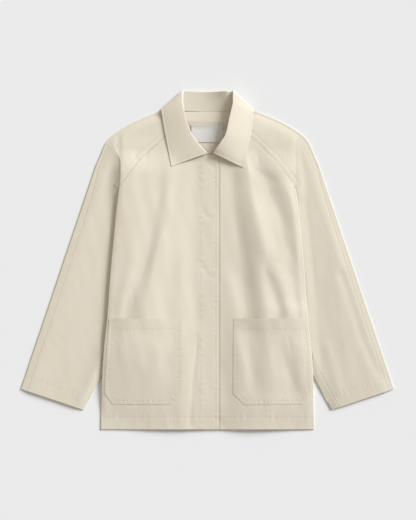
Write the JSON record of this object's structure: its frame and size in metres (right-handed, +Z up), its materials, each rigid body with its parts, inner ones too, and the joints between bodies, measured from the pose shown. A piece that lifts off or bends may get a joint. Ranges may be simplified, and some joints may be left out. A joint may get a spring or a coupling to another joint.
{
  "type": "barn jacket",
  "caption": "Light cotton canvas barn jacket laid flat and buttoned, with raglan sleeves, a turned-down collar, a covered front placket and patch pockets with cut corners.",
  "frame": {"origin": "on the surface that the jacket lies on, under the centre of its bounding box, on the centre line of the body", "axes": "+X to the wearer's left, +Y from the hem to the collar, +Z up from the surface"},
  "size_m": [0.82, 0.747, 0.015],
  "materials": {
    "canvas": "washed stone-coloured cotton canvas, matte, with a faint weave",
    "collar_canvas": "the same canvas, two layers, matte",
    "woven_tape": "off-white woven satin tape, blank"
  },
  "bodies": {
    "root": {"back": "canvas", "front_right": "canvas", "front_left": "canvas", "placket": "canvas", "sleeve_front_right": "canvas", "sleeve_back_right": "canvas", "sleeve_front_left": "canvas", "sleeve_back_left": "canvas", "pocket_right": "canvas", "pocket_left": "canvas", "collar": "collar_canvas", "label": "woven_tape", "size_tab": "woven_tape"}
  },
  "joints": []
}
